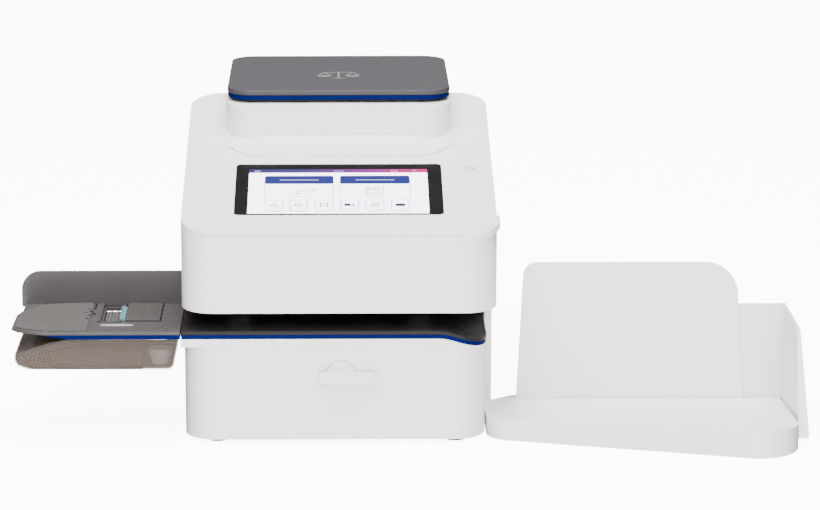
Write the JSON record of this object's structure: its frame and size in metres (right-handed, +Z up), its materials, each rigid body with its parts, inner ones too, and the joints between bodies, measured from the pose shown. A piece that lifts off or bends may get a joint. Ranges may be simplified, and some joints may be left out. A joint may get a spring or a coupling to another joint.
{
  "type": "franking machine",
  "caption": "Desktop mail franking machine with a tilted display lid, rear weighing platform, side feed and sealing unit, and a drop stacker.",
  "frame": {"origin": "middle of the whole footprint, on the surface the machine stands on", "axes": "+X to the operator's right along the mail path, +Y to the back, +Z up"},
  "size_m": [0.6786, 0.421, 0.27],
  "materials": {
    "shell_white": "satin moulded plastic",
    "trim_blue": "glossy moulded plastic",
    "deck_grey": "fine-textured plastic",
    "mid_grey": "fine-textured plastic",
    "black_plastic": "matt",
    "rubber": "matt",
    "steel": "zinc-plated sheet",
    "aluminium": "machined",
    "black_glass": "polished",
    "smoke_plastic": "translucent smoke grey",
    "amber_plastic": "translucent brown smoke",
    "brush_teal": "dense bristles",
    "gear_white": "moulded acetal",
    "circuit_green": "solder mask"
  },
  "bodies": {
    "base": {"base_pan": "steel", "feet": "rubber", "lower_front_cover": "shell_white", "rear_housing": "shell_white", "power_inlet": "black_plastic", "data_ports": "steel", "deck_ledge": "shell_white", "deck_trim": "trim_blue", "main_deck": "deck_grey", "registration_wall": "black_plastic", "main_frame": "steel", "bearing_bracket": "steel", "drive_belt": "rubber", "drive_motor": "steel", "idler_bracket": "steel", "upper_shell": "shell_white", "throat_ceiling": "black_plastic", "carriage_rails": "steel", "service_station": "mid_grey", "main_board": "circuit_green", "power_supply": "steel", "rear_top_cover": "shell_white", "scale_pedestal": "shell_white", "load_cell": "aluminium", "load_cell_bracket": "steel", "hinge_brackets": "steel", "hinge_pins": "steel", "feed_frame": "mid_grey", "feed_trim": "trim_blue", "feed_deck": "smoke_plastic", "feed_wall": "smoke_plastic"},
    "lid": {"top_cover": "shell_white", "hinge_arms": "steel", "display_glass": "black_glass", "lcd_panel": "black_plastic", "display_housing": "mid_grey"},
    "button": {"power_button": "shell_white"},
    "platform": {"platform_frame": "black_plastic", "platform_trim": "trim_blue", "weighing_platter": "mid_grey"},
    "lever": {"release_lever": "shell_white"},
    "entry_drive": {"entry_shaft": "steel", "entry_roller": "rubber", "entry_gear": "gear_white"},
    "exit_drive": {"exit_shaft": "steel", "exit_roller": "rubber", "exit_pulley": "gear_white"},
    "motor": {"motor_pinion": "steel"},
    "entry_idler_wheel": {"entry_idler": "rubber"},
    "exit_idler_wheel": {"exit_idler": "rubber"},
    "carriage": {"print_carriage": "mid_grey", "ink_cartridge": "black_plastic"},
    "sealer_tray": {"sealer_housing": "amber_plastic", "water_tank": "amber_plastic"},
    "cap": {"tank_cap": "shell_white"},
    "brush": {"brush_holder": "smoke_plastic", "moistener_brush": "brush_teal"},
    "stacker": {"stacker_tray": "shell_white", "stacker_back_wall": "shell_white"},
    "extension": {"stacker_extension": "shell_white"}
  },
  "joints": [
    {"name": "lid_hinge", "type": "hinge", "parent": "base", "child": "lid", "pos_m": [-0.0607, 0.0165, 0.21502], "axis": [-1, 0, 0], "range_deg": [0, 50]},
    {"name": "power_button_press", "type": "slide", "parent": "lid", "child": "button", "axis": [0, 0.2385, -0.9711], "range_m": [0, 0.0008], "stiffness_N_per_m": 600, "springref_m": -0.0005},
    {"name": "platform_load", "type": "slide", "parent": "base", "child": "platform", "axis": [0, 0, -1], "range_m": [0, 0.001], "stiffness_N_per_m": 20000, "springref_m": -0.0006},
    {"name": "release_lever_turn", "type": "hinge", "parent": "base", "child": "lever", "pos_m": [-0.0593, -0.1615, 0.059], "axis": [0, 1, 0], "range_deg": [0, 90]},
    {"name": "entry_roller_spin", "type": "hinge", "parent": "base", "child": "entry_drive", "pos_m": [-0.1467, -0.0955, 0.0847], "axis": [0, 1, 0], "continuous": true},
    {"name": "exit_roller_spin", "type": "hinge", "parent": "base", "child": "exit_drive", "pos_m": [0.0093, -0.0955, 0.0847], "axis": [0, 1, 0], "continuous": true},
    {"name": "motor_spin", "type": "hinge", "parent": "base", "child": "motor", "pos_m": [-0.1467, -0.0955, 0.0532], "axis": [0, 1, 0], "continuous": true},
    {"name": "entry_idler_spin", "type": "hinge", "parent": "base", "child": "entry_idler_wheel", "pos_m": [-0.1467, -0.0955, 0.1072], "axis": [0, 1, 0], "continuous": true},
    {"name": "exit_idler_spin", "type": "hinge", "parent": "base", "child": "exit_idler_wheel", "pos_m": [0.0093, -0.0955, 0.1072], "axis": [0, 1, 0], "continuous": true},
    {"name": "carriage_slide", "type": "slide", "parent": "base", "child": "carriage", "axis": [0, -1, 0], "range_m": [0, 0.042]},
    {"name": "sealer_tray_slide", "type": "slide", "parent": "base", "child": "sealer_tray", "axis": [0, -1, 0], "range_m": [0, 0.08]},
    {"name": "tank_cap_turn", "type": "hinge", "parent": "sealer_tray", "child": "cap", "pos_m": [-0.2133, -0.1435, 0.07], "axis": [0, 0, 1], "range_deg": [0, 90]},
    {"name": "brush_lift", "type": "slide", "parent": "base", "child": "brush", "axis": [0, 0, 1], "range_m": [0, 0.012]},
    {"name": "stacker_undock", "type": "slide", "parent": "base", "child": "stacker", "axis": [1, 0, 0], "range_m": [0, 0.1]},
    {"name": "extension_slide", "type": "slide", "parent": "stacker", "child": "extension", "axis": [1, 0, 0], "range_m": [0, 0.09]}
  ],
  "couplings": [
    {"joint": "exit_roller_spin", "follows": "entry_roller_spin", "ratio": 1},
    {"joint": "motor_spin", "follows": "entry_roller_spin", "ratio": -2.5}
  ]
}
